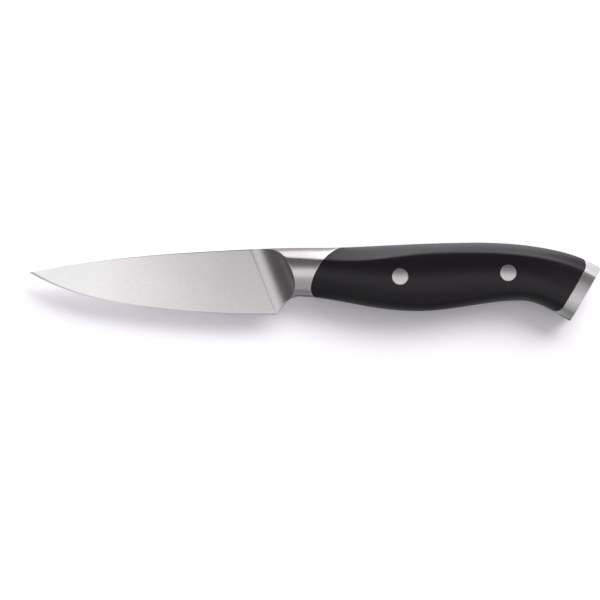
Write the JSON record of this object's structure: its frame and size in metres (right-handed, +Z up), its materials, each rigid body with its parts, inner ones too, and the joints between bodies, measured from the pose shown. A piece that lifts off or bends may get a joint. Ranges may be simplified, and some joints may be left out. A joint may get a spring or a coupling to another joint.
{
  "type": "paring knife",
  "caption": "Paring knife with a forged blade and half bolster, a full tang between two riveted grip scales, and a steel end cap.",
  "frame": {"origin": "under the middle of the knife, on the surface that it lies on", "axes": "+X from the tip to the butt, +Y from the cutting edge up to the spine, +Z up, out of the left side of the blade"},
  "size_m": [0.2061, 0.0282, 0.0165],
  "materials": {
    "blade_steel": "stainless steel, fine satin grind on the blade, polished neck",
    "cap_steel": "stainless steel, fine satin",
    "rivet_steel": "stainless steel, ground flush with the scales",
    "grip_polymer": "black acetal, satin"
  },
  "bodies": {
    "root": {"blade": "blade_steel", "end_cap": "cap_steel", "scale_left": "grip_polymer", "scale_right": "grip_polymer", "front_rivet_socket": "rivet_steel", "front_rivet_pin": "rivet_steel", "rear_rivet_socket": "rivet_steel", "rear_rivet_pin": "rivet_steel"}
  },
  "joints": []
}
